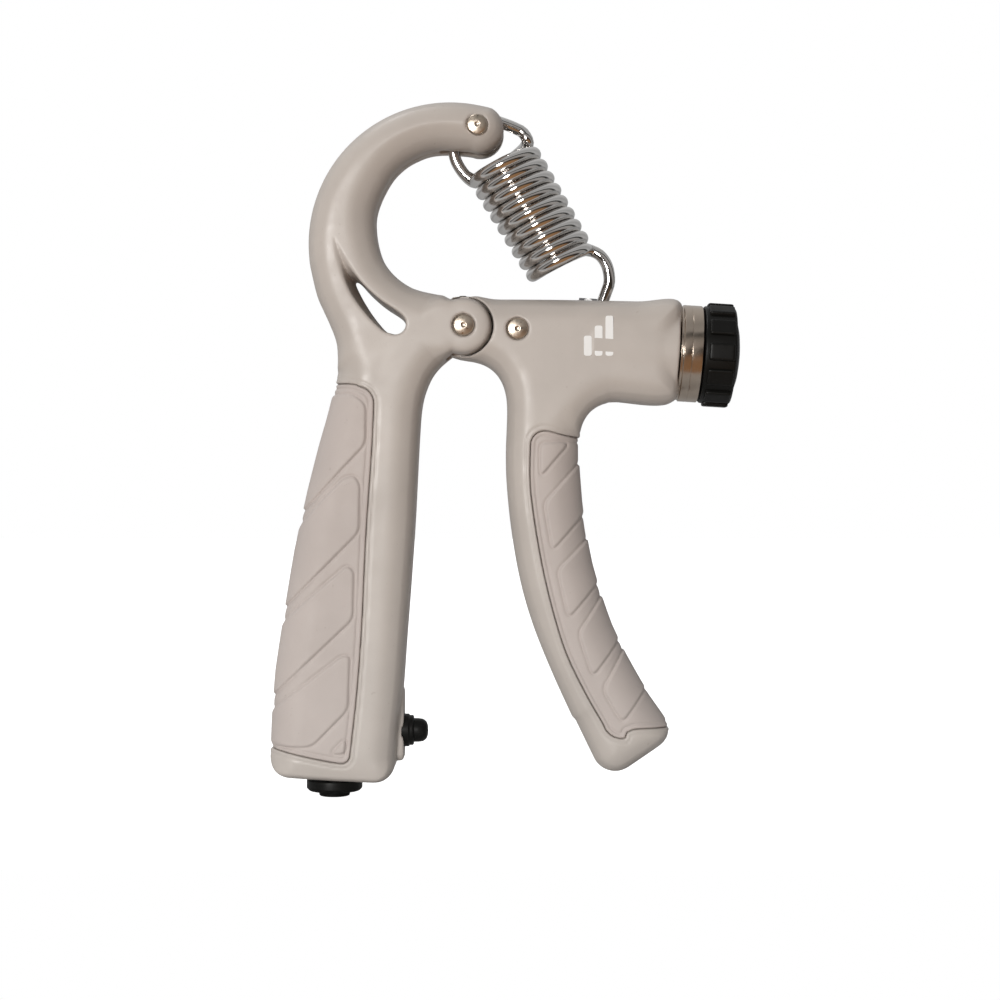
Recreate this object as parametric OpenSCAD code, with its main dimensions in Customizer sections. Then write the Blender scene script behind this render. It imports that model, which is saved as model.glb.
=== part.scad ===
// Adjustable hand grip strengthener with a squeeze counter.
// Two moulded levers turn on one hinge pin. An extension spring joins the hook of the
// left lever (the handle) to a nut inside the right lever (the arm), and the knob at the
// arm's end moves that nut along a screw. A counter in the handle counts each squeeze.
//
// Shapes are drawn about the hinge pin: X to the right, Z up, Y through the thickness,
// with the two halves of each lever meeting on Y = 0 and the front facing -Y.
// place() then moves everything so that the origin is under the middle of the box.

/* [Levers] */
// Half the thickness of the levers, from the parting plane to a flat face
half_t = 10.5; // [10:0.1:11]
// Wall of the hollow grips
wall = 3.0; // [2.8:0.1:3.2]
// Thickness of the soft grip pads
pad_t = 1.2; // [1:0.1:1.4]
// Radius of the hook's outside
hook_outer_r = 31.3; // [31:0.1:31.6]
// Radius of the opening inside the hook
hook_inner_r = 15.7; // [15.4:0.1:16]
// Radius of the handle's hinge ears
ear_r = 6.2; // [5.8:0.1:6.4]
// Gap round the hinge ears
ear_gap = 0.4; // [0.3:0.05:0.6]

/* [Arm end] */
// Radius of the round end of the arm
arm_end_r = 11; // [10.8:0.1:11.2]
// Slope of the arm's axis below horizontal
arm_tilt = 3.5; // [3:0.25:4]
// Radius of the metal ferrule
ferrule_r = 10.75; // [10.4:0.05:10.9]
// Radius of the adjuster knob over its lugs
knob_r = 11.5; // [11.2:0.1:11.8]
// Number of lugs round the knob
knob_lugs = 12; // [8:1:16]
// Radius of the adjusting screw over its thread
screw_r = 3; // [2.8:0.1:3]

/* [Spring] */
// Diameter of the spring's wire
wire_d = 2.8; // [2.5:0.1:2.8]
// Mean radius of the coil
coil_r = 6.3; // [6:0.1:6.4]
// Distance between neighbouring turns
coil_pitch = 3.06; // [3:0.02:3.1]
// Number of turns
coil_turns = 9; // [9:1:9]
// Angle between the coil's axis and vertical
coil_tilt = 30.5; // [30:0.5:31]

/* [Counter] */
// Radius of the number wheels
wheel_r = 5.5; // [5.3:0.1:5.6]
// Width of a number wheel
wheel_w = 4; // [3.8:0.1:4]
// Number of digits that the counter shows
digits = 3; // [3:1:3]
// Travel of the plunger
plunger_travel = 3.5; // [3:0.1:3.5]
// Radius of the plunger
plunger_r = 2.65; // [2.5:0.05:2.7]
// Radius of the reset knob
reset_r = 6.2; // [5.8:0.1:6.4]

/* [Hidden] */

// Radial clearance of a running fit
fit = 0.05;
// Clearance cut past a surface, so that no two faces of a cut coincide
eps = 0.5;
round_fn = 96;

// Depths and insets of the stepped faces: [from, to, inset]
steps = [[0, half_t - 3.5, 0], [half_t - 3.5, half_t - 1.5, 0.9],
         [half_t - 1.5, half_t - 0.5, 2.1], [half_t - 0.5, half_t, 3.3]];

// Hinge, spring pins and rivets, all along Y
pin_r = 1.5;
head_r = 2.5;
head_h = 0.9;
head_recess_r = 2.85;
head_top = half_t - 0.1;
spring_pin_at = [3.0, 43.8];
arm_rivet_at = [11.8, -0.8];
tongue_half_w = 3.7;
tongue_slot_half_w = 3.9;
tongue_slot_r = 7.8;

// Hook
hook_outer_c = [-3, 18.3];
hook_inner_c = [-3, 21.4];
tip_c = [3.4, 42.3];
tip_r = 5.9;

// Arm axis: distances along it are measured from the point below the hinge
axis_z = -2.5;
end_face = 47.4;
ferrule_from = 47.7;
ferrule_to = 52.6;
knob_from = 52.9;
knob_to = 60.3;
cap_to = 61.5;
bearing_from = 15;
bearing_to = 19;
travel_to = 42;
eye_at = [27.5, 5.3];
eye_pin_r = 1.2;
slot_half_w = 3.4;
slot_x = [20.8, 42];
cavity_r = 7.6;
bearing_r = 5;
bush_r = 6.5;
screw_end = 58;
thread_bore_r = 1.2;

// Counter: an upright shaft on the parting plane, in the foot of the handle
shaft_x = -28.9;
shaft_r = 1.5;
wheel_pitch = wheel_w + 0.4;
wheels_bottom = -94.6;
frame_bottom = -96.2;
frame_top = -79.4;
frame_t = 1.2;
pinion_at = [-35.9, -2.0];
pinion_r = 1.7;
pinion_shaft_r = 0.7;
plunger_z = -89.5;
plunger_tip_x = -8;
plunger_foot_x = -17.9;
collar_r = 3.65;
lever_pivot = [-22, -78];
lever_pin_r = 1;
window_w = 5;
window_h = digits * wheel_pitch + 0.6;
window_z = wheels_bottom + digits * wheel_pitch / 2 - 0.2;

// Lowest and highest values of the whole object, for its origin
foot_z = -104.1;
low_x = -42.4;
high_x = (cap_to - 0.1) * cos(arm_tilt) + 3.4 * sin(arm_tilt);

// ---------------------------------------------------------------- helpers

function arc(c, r, a0, a1, n) =
    [for (i = [0 : n]) let (a = a0 + (a1 - a0) * i / n) c + r * [cos(a), sin(a)]];

function unit(v) = v / norm(v);

// Moves every corner of a counter-clockwise outline inwards by d
function inset(pts, d) =
    [for (i = [0 : len(pts) - 1])
        let (n = len(pts),
             before = unit(pts[i] - pts[(i + n - 1) % n]),
             after = unit(pts[(i + 1) % n] - pts[i]),
             inward = [-before.y - after.y, before.x + after.x])
        pts[i] + d * inward / max(0.6, (inward * inward) / 2)];

// Puts the origin below the middle of the object
module place() {
    translate([-(low_x + high_x) / 2, 0, -foot_z]) children();
}

// A slab of the front half, from depth y0 to depth y1 in front of the parting plane
module slab(pts, y0, y1) {
    rotate([90, 0, 0]) translate([0, 0, y0]) linear_extrude(y1 - y0) polygon(pts);
}

// The front half of a lever: flat, with its edge falling away in steps
module stepped_half(pts) {
    for (s = steps) slab(inset(pts, s[2]), s[0], s[1]);
}

// A cylinder along Y, through the point p of the XZ plane
module rod(p, r, y0, y1, fn = round_fn) {
    translate([p.x, y0, p.y]) rotate([-90, 0, 0]) cylinder(h = y1 - y0, r = r, $fn = fn);
}

// A box given by its two corners
module block(low, high) {
    translate(low) cube(high - low);
}

// Places shapes drawn along +Z on the arm's axis, with local -X upwards
module along_arm() {
    translate([0, 0, axis_z]) rotate([0, 90 + arm_tilt, 0]) children();
}

// A ring or disc on the arm's axis
module arm_ring(s0, s1, r, bore = 0) {
    along_arm() translate([0, 0, s0]) difference() {
        cylinder(h = s1 - s0, r = r, $fn = round_fn);
        if (bore > 0) translate([0, 0, -eps]) cylinder(h = s1 - s0 + 2 * eps, r = bore, $fn = round_fn);
    }
}

// A ring round the upright counter shaft
module shaft_ring(z0, z1, r, bore = 0, at = [shaft_x, 0], fn = round_fn) {
    translate([at.x, at.y, z0]) difference() {
        cylinder(h = z1 - z0, r = r, $fn = fn);
        if (bore > 0) translate([0, 0, -eps]) cylinder(h = z1 - z0 + 2 * eps, r = bore, $fn = round_fn);
    }
}

// A domed rivet head on each face, joined by the rivet's shank
module rivet(p, shank_r) {
    rod(p, shank_r, -head_top, head_top);
    for (side = [-1, 1]) translate([p.x, side * head_top, p.y]) rotate([side * 90, 0, 0])
        rotate_extrude($fn = round_fn) polygon([[0, -0.1], [head_r - 0.7, 0.1], [head_r, head_h - 0.4],
                                                [head_r, head_h], [0, head_h]]);
}

module rivet_hole(p, shank_r) {
    rod(p, shank_r + fit, -half_t - eps, half_t + eps);
    rod(p, head_recess_r, head_top - head_h, half_t + eps);
    rod(p, head_recess_r, -half_t - eps, head_h - head_top);
}

// ---------------------------------------------------------------- outlines

// The handle, counter-clockwise from the bottom of the hinge ear
function handle_outline() = concat(
    arc([0, 0], ear_r, -112, 96, 16),
    [[-3.6, 6.6], [-8.4, 7.6], [-12.7, 9.6]],
    arc(hook_inner_c, hook_inner_r, 222, 84, 14),
    arc(tip_c, tip_r, -98, 70, 10),
    arc(hook_outer_c, hook_outer_r, 78, 190, 16),
    [[-32.4, 6.9], [-31.0, 3.6], [-29.5, 0.3], [-28.2, -3.2], [-27.7, -6.8], [-27.7, -10],
     [-28.4, -13.6], [-29.8, -19.5], [-31.8, -26.5], [-34.2, -36], [-37.1, -49.2], [-39.3, -62.4],
     [-41.3, -75.6], [-42.1, -86], [low_x, -94]],
    arc([low_x + 5, -94.4], 5, 184, 262, 4),
    [[-28, -100.0]],
    arc([-18.6, -96.0], 4.6, -94, 0, 5),
    [[-13.5, -82], [-12.7, -69], [-11.8, -55.8], [-10.9, -42.6], [-10, -25], [-9.4, -17.5],
     [-8.2, -13], [-6.2, -9.4]]);

// The arm and its grip, counter-clockwise from below the hinge
function arm_outline() = concat(
    [[0.6, -7.3], [3.6, -7.9], [6.6, -9.8], [8.8, -13], [9.6, -18], [9.3, -28], [9.6, -36],
     [10.7, -46], [12.6, -56.5], [15.3, -65.8], [19.2, -75.6], [23.6, -85.3]],
    arc([33.0, -92.9], 5.2, 200, 303, 6),
    arc([39.9, -88.3], 5.1, -56, 28, 4),
    [[39.6, -79], [35.8, -72.3], [32.6, -65.6], [30.2, -58.8], [28.3, -52.2],
     [26.9, -45], [26, -38.4], [25.6, -31], [25.7, -24.4]],
    arc([33.9, -24.4], 8.2, 165, 90, 5),
    [[46.6, -16.2], [47.9, 5.4], [30, 6.4], [2.4, 6.9]]);

// The area that the handle's pad covers, open past the handle's outer edge
function handle_pad_zone() = concat(
    [[-41.9, -93.0], [-30.9, -95.2]],
    arc([-26.6, -94.0], 1.9, -90, 0, 3),
    [[-23.2, -80.5], [-22.1, -65.5], [-21.2, -46.1], [-19.9, -26.8]],
    arc([-23.2, -17.0], 3.7, 0, 80, 4),
    [[-27.0, -12.6], [-50, -12.6], [-50, -93]]);

// The area that the arm's pad covers, open past the grip's outer edge
function arm_pad_zone() = concat(
    [[60, -88.4], [60, -24.4], [25.4, -24.4]],
    arc([17.8, -26.2], 3.2, 80, 180, 4),
    [[14.6, -35.4], [16.2, -47.2], [18.6, -58.9], [22.1, -70.8], [26.5, -80.2]],
    arc([34.6, -86.2], 4.2, 195, 280, 3),
    [[37.1, -88.4]]);

// The teardrop opening through the hook's base
function teardrop() = concat(
    [[-28.3, 19.4], [-26.5, 12.4], [-22.5, 5.6], [-19.3, 1.2]],
    arc([-14.6, 0.3], 2.3, 200, 410, 6),
    [[-17.4, 4.0], [-22.1, 8.2], [-26.2, 13.9]]);

// Screws that hold the halves together
handle_screws = [[-23.5, -22], [-25.5, -46], [-27.5, -70]];
arm_screws = [[17.5, -21], [18.6, -50], [33, -85.5], [38.5, -12.2]];

// ---------------------------------------------------------------- levers

// The front half of a grip pad: a skin over the face and round the outer edge
module pad_half(outline, zone) {
    difference() {
        intersection() {
            stepped_half(outline);
            slab(zone, 0, half_t + eps);
        }
        slab(inset(outline, pad_t + 0.2), -eps, half_t - 4.5);
        slab(inset(outline, 3.0), half_t - 4.6, half_t - pad_t);
    }
}

// The front half of the hollow inside a grip, below the height top_z
module hollow_half(outline, top_z) {
    intersection() {
        union() {
            slab(inset(outline, wall), -eps, half_t - 5.5);
            slab(inset(outline, wall + 1.2), half_t - 6, half_t - 2.9);
        }
        block([-60, -half_t, -98], [60, eps, top_z]);
    }
}

module bosses(points) {
    for (p = points) rod(p, 3, -8.2, 0);
}

module handle_half() {
    difference() {
        union() {
            difference() {
                stepped_half(handle_outline());
                hollow_half(handle_outline(), -15);
            }
            bosses(handle_screws);
        }
        pad_half(handle_outline(), handle_pad_zone());
        slab(teardrop(), -eps, half_t + eps);
        // room for the arm's tongue and for the spring's upper loop
        rod([0, 0], tongue_slot_r, -tongue_slot_half_w, eps);
        rod([6.2, 39.9], 11.6, -1.9, eps);
        rivet_hole([0, 0], pin_r);
        rivet_hole(spring_pin_at, 1.3);
        // counter: recess for its frame, hole for its shaft and hole for the collar
        block([-35.3, -7.6, -96.4], [-19.2, eps, -74.8]);
        block([-23, -7.3, -93.2], [-16.7, eps, -80]);
        shaft_ring(-104, -96, shaft_r + 0.3);
        translate([-17, 0, plunger_z]) rotate([0, 90, 0]) cylinder(h = 8, r = collar_r, $fn = round_fn);
    }
}

module handle_front_shell() {
    color([0.75, 0.71, 0.68]) place() difference() {
        handle_half();
        for (p = handle_screws) rod(p, 1.25, -6.5, eps);
    }
}

module handle_rear_shell() {
    color([0.75, 0.71, 0.68]) place() difference() {
        mirror([0, 1, 0]) handle_half();
        for (p = handle_screws) screw_clearance(p);
        window_cut();
    }
}

module screw_clearance(p) {
    rod(p, 1.5, -eps, 6);
    rod(p, 2.8, 5, half_t + eps);
}

module window_cut() {
    block([shaft_x - 4.2, 6, window_z - window_h / 2 - 1.4],
          [shaft_x + 4.2, half_t + eps, window_z + window_h / 2 + 1.4]);
}

module handle_grip_pad() {
    color([0.78, 0.73, 0.71]) place() difference() {
        union() {
            pad_half(handle_outline(), handle_pad_zone());
            mirror([0, 1, 0]) pad_half(handle_outline(), handle_pad_zone());
        }
        for (p = handle_screws) rod(p, 2.8, 5, half_t + eps);
        window_cut();
    }
}

module shell_screws(points) {
    for (p = points) {
        rod(p, 1.25, -6.2, 5.5, 48);
        difference() {
            rod(p, 2.5, 5, 7);
            rod(p, 1.1, 6, 7.5, 6);
        }
    }
}

module handle_shell_screws() {
    color("silver") place() shell_screws(handle_screws);
}

module arm_half() {
    intersection() {
        block([-60, -20, -120], [80, 0, 60]);
        difference() {
            union() {
                difference() {
                    union() {
                        stepped_half(arm_outline());
                        arm_ring(37, end_face, arm_end_r);
                    }
                    hollow_half(arm_outline(), -24);
                    // room for the handle's ear
                    rod([0, 0], ear_r + ear_gap, -half_t - eps, -tongue_half_w);
                }
                rod([0, 0], 6, -tongue_half_w, 0);
                bosses(arm_screws);
            }
            pad_half(arm_outline(), arm_pad_zone());
            rod([0, 0], pin_r + fit, -half_t, eps);
            rivet_hole(arm_rivet_at, 1.3);
            // screw bearing, traveller space, end bush and the slot that the hook runs in
            arm_ring(bearing_from, bearing_to, bearing_r);
            arm_ring(bearing_to - eps, travel_to, cavity_r);
            arm_ring(travel_to - eps, end_face + eps, bush_r);
            block([slot_x[0], -slot_half_w, -4], [slot_x[1], eps, 8]);
        }
    }
}

module arm_front_shell() {
    color([0.74, 0.70, 0.67]) place() difference() {
        arm_half();
        for (p = arm_screws) rod(p, 1.25, -6.5, eps);
    }
}

module arm_rear_shell() {
    color([0.74, 0.70, 0.67]) place() difference() {
        mirror([0, 1, 0]) arm_half();
        for (p = arm_screws) screw_clearance(p);
    }
}

module arm_grip_pad() {
    color([0.78, 0.73, 0.71]) place() difference() {
        union() {
            pad_half(arm_outline(), arm_pad_zone());
            mirror([0, 1, 0]) pad_half(arm_outline(), arm_pad_zone());
        }
        for (p = arm_screws) rod(p, 2.8, 5, half_t + eps);
    }
}

module arm_shell_screws() {
    color("silver") place() shell_screws(arm_screws);
}

// ---------------------------------------------------------------- pins and rivets

module spring_pin() {
    color([0.72, 0.67, 0.58]) place() rivet(spring_pin_at, 1.3);
}

module hinge_pin() {
    color([0.72, 0.67, 0.58]) place() rivet([0, 0], pin_r);
}

module arm_rivet() {
    color([0.72, 0.67, 0.58]) place() rivet(arm_rivet_at, 1.3);
}

// ---------------------------------------------------------------- arm end

module screw_bearing() {
    color("ivory") place() arm_ring(bearing_from, bearing_to, bearing_r, screw_r - 0.6 + fit);
}

module end_bush() {
    color([0.25, 0.25, 0.26]) place() arm_ring(travel_to + 0.4, ferrule_to, bush_r, screw_r + fit);
}

module end_ferrule() {
    color([0.72, 0.68, 0.6]) place() arm_ring(ferrule_from, ferrule_to, ferrule_r, bush_r);
}

module thrust_washer() {
    color("gold") place() arm_ring(travel_to, travel_to + 0.4, 5.5, screw_r + fit);
}

module adjusting_screw() {
    color("silver") place() difference() {
        union() {
            arm_ring(bearing_from + 0.3, bearing_to + 0.2, screw_r - 0.6);
            arm_ring(bearing_to + 0.2, screw_end, screw_r);
            arm_ring(travel_to - 0.9, travel_to - 0.1, screw_r + 2);
        }
        along_arm() translate([0, 0, 50]) cylinder(h = 9, r = thread_bore_r, $fn = 48);
    }
}

module adjuster_knob() {
    color([0.08, 0.08, 0.09]) place() difference() {
        union() {
            arm_ring(knob_from, knob_to, knob_r - 0.7);
            along_arm() for (i = [0 : knob_lugs - 1]) rotate([0, 0, i * 360 / knob_lugs])
                translate([knob_r - 2, -1.9, knob_from + 0.9]) cube([2, 3.8, knob_to - knob_from - 1.8]);
        }
        arm_ring(knob_from - eps, screw_end, screw_r);
        arm_ring(screw_end - eps, 59.5, thread_bore_r + 0.4);
        arm_ring(59, knob_to + eps, 7.2);
    }
}

module knob_screw() {
    color("silver") place() union() {
        arm_ring(51, 59.3, thread_bore_r);
        arm_ring(59.05, 59.9, 2.8);
    }
}

module knob_cap() {
    color([0.06, 0.06, 0.07]) place() along_arm() rotate_extrude($fn = round_fn)
        polygon([[0, 60.0], [7.1, 60.0], [7.1, knob_to], [6.4, cap_to - 0.5], [3.4, cap_to - 0.1], [0, cap_to]]);
}

// ---------------------------------------------------------------- traveller

// Distance along the arm's axis of the eye, and its height above that axis
eye_s = eye_at.x * cos(arm_tilt) - (eye_at.y - axis_z) * sin(arm_tilt);
eye_h = eye_at.x * sin(arm_tilt) + (eye_at.y - axis_z) * cos(arm_tilt);

module traveller_nut() {
    color([0.35, 0.35, 0.37]) place() difference() {
        along_arm() difference() {
            union() {
                translate([-4.6, -5, eye_s - 4]) cube([9.6, 10, 8]);
                for (side = [-1, 1]) translate([-eye_h - eye_pin_r, side * 2.4 - 0.7, eye_s - 2])
                    cube([eye_h - 3, 1.4, 4]);
            }
            translate([0, 0, eye_s - 5]) cylinder(h = 10, r = screw_r + fit, $fn = round_fn);
        }
        rod(eye_at, eye_pin_r, -6, 6);
    }
}

module traveller_pin() {
    color("silver") place() rod(eye_at, eye_pin_r, -3.1, 3.1);
}

// ---------------------------------------------------------------- spring

module spring_pin_sleeve() {
    color("ivory") place() difference() {
        rod(spring_pin_at, 1.7, -1.8, 1.8);
        rod(spring_pin_at, 1.3 + fit, -2, 2);
    }
}

// The wire's centre line, drawn with its coil's axis up Z and then tilted into place
coil_c = (spring_pin_at + eye_at) / 2;
coil_h = coil_turns * coil_pitch;
ring_steps = 16;
wire_sides = 8;

function to_spring(p) = let (d = [p.x - coil_c.x, p.y - coil_c.y])
    [d.x * cos(coil_tilt) + d.y * sin(coil_tilt), 0, -d.x * sin(coil_tilt) + d.y * cos(coil_tilt)];
function upright(p) = [for (q = p) to_spring(q)];
function from_spring(p) = [p.x * cos(coil_tilt) - p.z * sin(coil_tilt) + coil_c.x, p.y,
                           p.x * sin(coil_tilt) + p.z * cos(coil_tilt) + coil_c.y];

// The coil turns right-handed about its upward axis, from its lower right to its upper left
coil_line = [for (i = [0 : coil_turns * ring_steps]) let (a = 360 * i / ring_steps)
    [coil_r * cos(a), coil_r * sin(a), coil_h * (i / (coil_turns * ring_steps) - 0.5)]];

// The loop round the spring pin, from the coil's top right over the pin to its left
loop_line = upright(arc([6.3, 39.9], 8.15, 28, 200, 14));
// The hook round the traveller's pin, from its free end to the coil's lower right
hook_line = upright(concat(arc([27.3, 5.9], 3.4, 195, 360, 9), [[31.1, 9.6], [30.8, 12.6]]));

wire_line = concat(hook_line, coil_line, loop_line);
hook_cut = len(hook_line) + ring_steps;
coil_cut = len(hook_line) + 4 * ring_steps + ring_steps / 2;
loop_cut = len(hook_line) + (coil_turns - 1) * ring_steps;

// A tube of radius r swept along a line of points, kept from twisting
module wire(line, r, from, to) {
    n = len(line);
    tangent = [for (i = [0 : n - 1]) unit(line[min(i + 1, n - 1)] - line[max(i - 1, 0)])];
    side = [for (i = 0, s = [0, 1, 0]; i < n; i = i + 1,
                 s = i < n ? unit(s - tangent[i] * (s * tangent[i])) : s) s];
    points = [for (i = [from : to], k = [0 : wire_sides - 1])
        let (a = 360 * k / wire_sides)
        line[i] + r * (cos(a) * side[i] + sin(a) * cross(tangent[i], side[i]))];
    rings = to - from;
    faces = concat(
        [for (i = [0 : rings - 1], k = [0 : wire_sides - 1])
            let (a = i * wire_sides + k, b = i * wire_sides + (k + 1) % wire_sides)
            [a, a + wire_sides, b + wire_sides, b]],
        [[for (k = [0 : wire_sides - 1]) k]],
        [[for (k = [wire_sides - 1 : -1 : 0]) rings * wire_sides + k]]);
    polyhedron(points, faces, convexity = 10);
}

module spring_part(from, to) {
    color([0.8, 0.8, 0.82]) place()
        wire([for (p = wire_line) from_spring(p)], wire_d / 2, from, to);
}

module spring_lower_hook() {
    spring_part(0, hook_cut);
}

module spring_lower_coils() {
    spring_part(hook_cut, coil_cut);
}

module spring_upper_coils() {
    spring_part(coil_cut, loop_cut);
}

module spring_upper_loop() {
    spring_part(loop_cut, len(wire_line) - 1);
}

// ---------------------------------------------------------------- counter

module counter_housing() {
    color([0.85, 0.85, 0.8]) place() difference() {
        union() {
            for (z = [frame_bottom, frame_top - frame_t])
                block([-37.6, -4.3, z], [-21, 4.3, z + frame_t]);
            block([-35, -7.5, frame_bottom], [-19.5, -6.9, -75]);
            for (z = [frame_bottom, frame_top - frame_t])
                block([-35, -7.2, z], [-31, -4, z + frame_t]);
            rod(lever_pivot, lever_pin_r, -7, -4.8);
        }
        shaft_ring(-100, -70, shaft_r + fit);
        shaft_ring(-100, -70, pinion_shaft_r, 0, pinion_at);
    }
}

module pinion_shaft() {
    color("silver") place() shaft_ring(frame_bottom, frame_top, pinion_shaft_r, 0, pinion_at);
}

module counter_shaft() {
    color("silver") place() shaft_ring(-103.4, -78.6, shaft_r);
}

// A number wheel, counted upwards from the foot, with a toothed ring on the units wheel
module number_wheel(index) {
    z = wheels_bottom + index * wheel_pitch;
    color("white") place() shaft_ring(z, z + wheel_w, wheel_r, shaft_r + fit);
    if (index == digits - 1)
        color("white") place() shaft_ring(z + wheel_w - 0.1, z + wheel_w + 0.8, 4.2, shaft_r + fit, [shaft_x, 0], 10);
}

module hundreds_wheel() {
    number_wheel(0);
}

module tens_wheel() {
    number_wheel(1);
}

module units_wheel() {
    number_wheel(2);
}

// A carry pinion beside the gap below wheel number index
module carry_pinion(index) {
    z = wheels_bottom + index * wheel_pitch - 0.2;
    color("orange") place() difference() {
        translate([pinion_at.x, pinion_at.y, z - 1.4]) cylinder(h = 2.8, r = pinion_r, $fn = 8);
        shaft_ring(z - 3, z + 3, pinion_shaft_r + fit, 0, pinion_at);
    }
}

module tens_pinion() {
    carry_pinion(2);
}

module hundreds_pinion() {
    carry_pinion(1);
}

module count_plunger() {
    color([0.08, 0.08, 0.09]) place() union() {
        translate([plunger_foot_x + 0.5, 0, plunger_z]) rotate([0, 90, 0])
            cylinder(h = plunger_tip_x - plunger_foot_x - 0.5, r = plunger_r, $fn = round_fn);
        translate([plunger_foot_x, 0, plunger_z]) rotate([0, 90, 0]) cylinder(h = 1, r = 3.4, $fn = round_fn);
        block([plunger_foot_x, -6.8, plunger_z - 2], [plunger_foot_x + 1, 0, plunger_z + 2]);
    }
}

module plunger_collar() {
    color([0.1, 0.1, 0.11]) place() translate([-16.4, 0, plunger_z]) rotate([0, 90, 0]) difference() {
        cylinder(h = 3.8, r = collar_r, $fn = round_fn);
        translate([0, 0, -eps]) cylinder(h = 3.8 + 2 * eps, r = plunger_r + fit, $fn = round_fn);
    }
}

module count_lever() {
    color("orange") place() difference() {
        union() {
            rod(lever_pivot, 2, -6.7, -5.7);
            translate([0, -5.7, 0]) slab([[-23.4, -78], [-20.6, -78], [-18.2, -89.5], [-18.6, -91],
                                          [-20.2, -90.5]], 0, 1);
            translate([0, -5.7, 0]) slab([[-22, -77], [-28, -80.7], [-28, -81.7], [-26.5, -81.7],
                                          [-22, -79]], 0, 1);
            block([-28, -6, -81.7], [-27.2, -4.6, -80.9]);
        }
        rod(lever_pivot, lever_pin_r + fit, -8, -4);
    }
}

module lever_spring() {
    color("silver") place() difference() {
        rod(lever_pivot, 1.9, -5.5, -4.8);
        rod(lever_pivot, lever_pin_r, -6, -4);
    }
}

module window_bezel() {
    color([0.12, 0.12, 0.13]) place() difference() {
        block([shaft_x - 4.2, 7.6, window_z - window_h / 2 - 1.4],
              [shaft_x + 4.2, half_t - 0.2, window_z + window_h / 2 + 1.4]);
        block([shaft_x - window_w / 2, 7, window_z - window_h / 2],
              [shaft_x + window_w / 2, half_t + eps, window_z + window_h / 2]);
        block([shaft_x - window_w / 2 - 0.8, 7, window_z - window_h / 2 - 0.8],
              [shaft_x + window_w / 2 + 0.8, 8.8, window_z + window_h / 2 + 0.8]);
    }
}

module counter_window() {
    color([0.8, 0.9, 1, 0.4]) place()
        block([shaft_x - window_w / 2 - 0.7, 7.6, window_z - window_h / 2 - 0.7],
              [shaft_x + window_w / 2 + 0.7, 8.8, window_z + window_h / 2 + 0.7]);
}

module reset_knob() {
    color([0.08, 0.08, 0.09]) place() difference() {
        union() {
            shaft_ring(-102.9, -100.4, reset_r);
            shaft_ring(foot_z, -102.9, 3.5);
        }
        shaft_ring(-103.4, -100, shaft_r);
    }
}

// ---------------------------------------------------------------- output

handle_front_shell();
handle_rear_shell();
handle_grip_pad();
handle_shell_screws();
spring_pin();
hinge_pin();
counter_housing();
pinion_shaft();
lever_spring();
plunger_collar();
window_bezel();
counter_window();
count_plunger();
count_lever();
units_wheel();
tens_wheel();
hundreds_wheel();
tens_pinion();
hundreds_pinion();
counter_shaft();
reset_knob();
arm_front_shell();
arm_rear_shell();
arm_grip_pad();
arm_shell_screws();
arm_rivet();
screw_bearing();
end_bush();
end_ferrule();
thrust_washer();
adjusting_screw();
adjuster_knob();
knob_screw();
knob_cap();
traveller_nut();
traveller_pin();
spring_pin_sleeve();
spring_upper_loop();
spring_upper_coils();
spring_lower_coils();
spring_lower_hook();
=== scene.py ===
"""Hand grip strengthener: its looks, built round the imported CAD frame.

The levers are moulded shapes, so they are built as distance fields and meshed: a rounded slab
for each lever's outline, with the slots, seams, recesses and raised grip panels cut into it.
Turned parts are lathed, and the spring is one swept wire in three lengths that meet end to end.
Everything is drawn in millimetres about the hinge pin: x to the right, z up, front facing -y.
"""

import math

import bpy
import numpy as np
import openvdb
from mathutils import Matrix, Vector


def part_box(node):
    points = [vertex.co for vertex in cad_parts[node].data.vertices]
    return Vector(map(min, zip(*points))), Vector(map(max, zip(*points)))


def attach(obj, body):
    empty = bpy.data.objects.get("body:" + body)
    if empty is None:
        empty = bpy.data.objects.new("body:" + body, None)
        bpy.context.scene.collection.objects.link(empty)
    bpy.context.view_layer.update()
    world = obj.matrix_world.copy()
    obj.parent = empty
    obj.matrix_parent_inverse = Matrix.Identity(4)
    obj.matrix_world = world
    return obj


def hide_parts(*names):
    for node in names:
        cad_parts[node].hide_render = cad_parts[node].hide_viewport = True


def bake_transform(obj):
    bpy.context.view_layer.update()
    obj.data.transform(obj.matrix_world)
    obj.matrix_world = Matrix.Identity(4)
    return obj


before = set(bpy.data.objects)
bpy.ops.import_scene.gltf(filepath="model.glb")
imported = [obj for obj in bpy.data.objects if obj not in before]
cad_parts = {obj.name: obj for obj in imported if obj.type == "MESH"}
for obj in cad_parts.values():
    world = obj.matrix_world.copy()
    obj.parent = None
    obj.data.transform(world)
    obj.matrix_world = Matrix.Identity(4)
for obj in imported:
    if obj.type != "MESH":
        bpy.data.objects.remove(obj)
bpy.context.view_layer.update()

MM = 0.001


def centre(node):
    """Centre of a CAD node at rest, in metres."""
    low, high = (np.array(corner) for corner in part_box(node))
    return (low + high) / 2


HINGE = centre("hinge_pin")


def local(node):
    """Centre of a CAD node, in millimetres about the hinge pin."""
    return (centre(node) - HINGE) / MM


def local_box(node):
    """Lowest and highest corners of a CAD node, in millimetres about the hinge pin."""
    return [(np.array(corner) - HINGE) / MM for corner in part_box(node)]


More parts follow.
